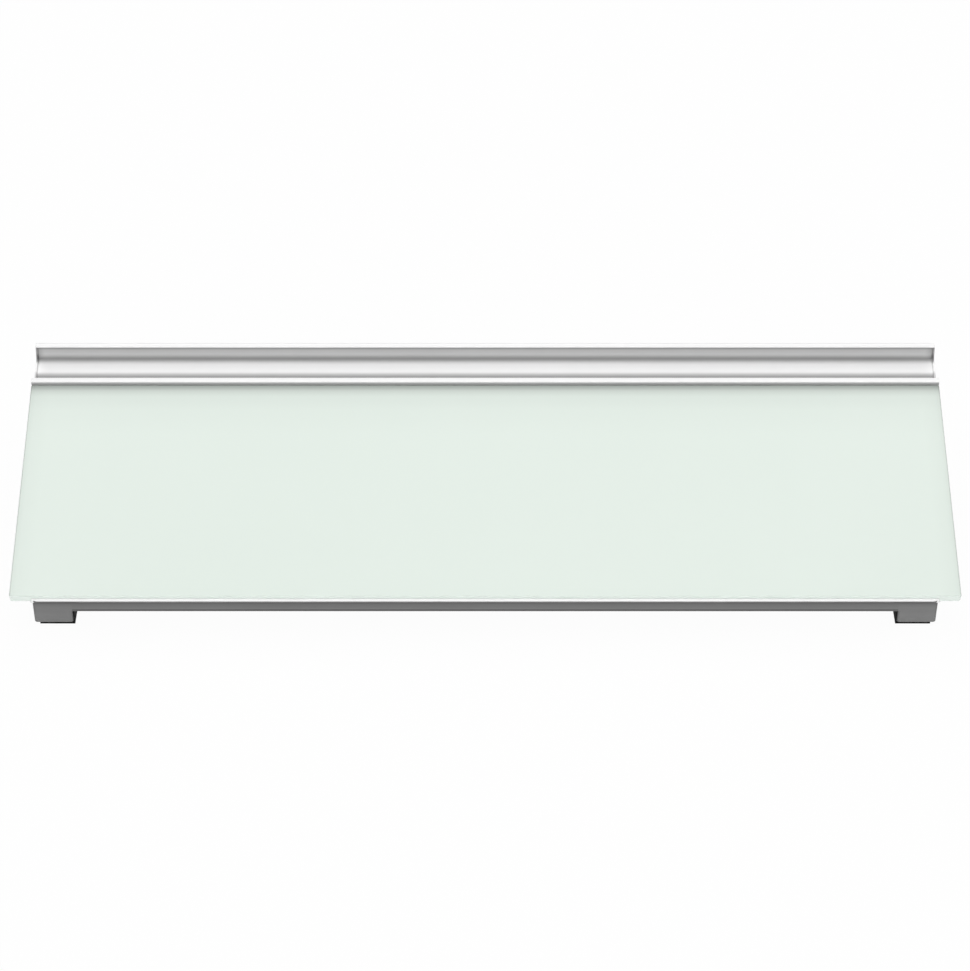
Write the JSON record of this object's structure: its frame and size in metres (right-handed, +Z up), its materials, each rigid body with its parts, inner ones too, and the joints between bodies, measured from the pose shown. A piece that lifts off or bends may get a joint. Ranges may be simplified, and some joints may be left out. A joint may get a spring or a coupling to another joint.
{
  "type": "desktop glass whiteboard",
  "caption": "Low sloped desktop whiteboard: a back-painted glass writing pane with a pen tray behind it, on a wedge-shaped base with a slide-out drawer.",
  "frame": {"origin": "on the desk surface, under the middle of the board's outer box", "axes": "+X to the writer's right, +Y away from the writer towards the pen tray, +Z up"},
  "size_m": [0.4572, 0.1456, 0.0695],
  "materials": {
    "painted_glass": "polished tempered glass, back-painted pale green-white",
    "white_plastic": "satin moulded white",
    "grey_plastic": "fine-textured moulded mid grey",
    "black_rubber": "matt moulded rubber",
    "foam_tape": "double-sided acrylic foam tape",
    "screw_steel": "zinc-plated",
    "pale_plastic": "natural acetal, smooth"
  },
  "bodies": {
    "base": {"glass_panel": "painted_glass", "glass_tape_front": "foam_tape", "glass_tape_middle": "foam_tape", "glass_tape_rear": "foam_tape", "top_shell": "white_plastic", "base_shell": "grey_plastic", "foot_boot_front_left": "black_rubber", "foot_boot_front_right": "black_rubber", "foot_boot_rear_left": "black_rubber", "foot_boot_rear_right": "black_rubber", "screw_front_left": "screw_steel", "screw_front_middle": "screw_steel", "screw_front_right": "screw_steel", "screw_rear_left": "screw_steel", "screw_rear_middle": "screw_steel", "screw_rear_right": "screw_steel", "runner_front": "pale_plastic", "runner_rear": "pale_plastic", "drawer_bumper_1": "black_rubber", "drawer_bumper_2": "black_rubber"},
    "drawer": {"drawer_box": "grey_plastic", "drawer_front": "grey_plastic", "drawer_screw_1": "screw_steel", "drawer_screw_2": "screw_steel", "drawer_divider_long": "pale_plastic", "drawer_divider_cross": "pale_plastic"}
  },
  "joints": [
    {"name": "drawer_slide", "type": "slide", "parent": "base", "child": "drawer", "axis": [1, 0, 0], "range_m": [0, 0.19]}
  ]
}
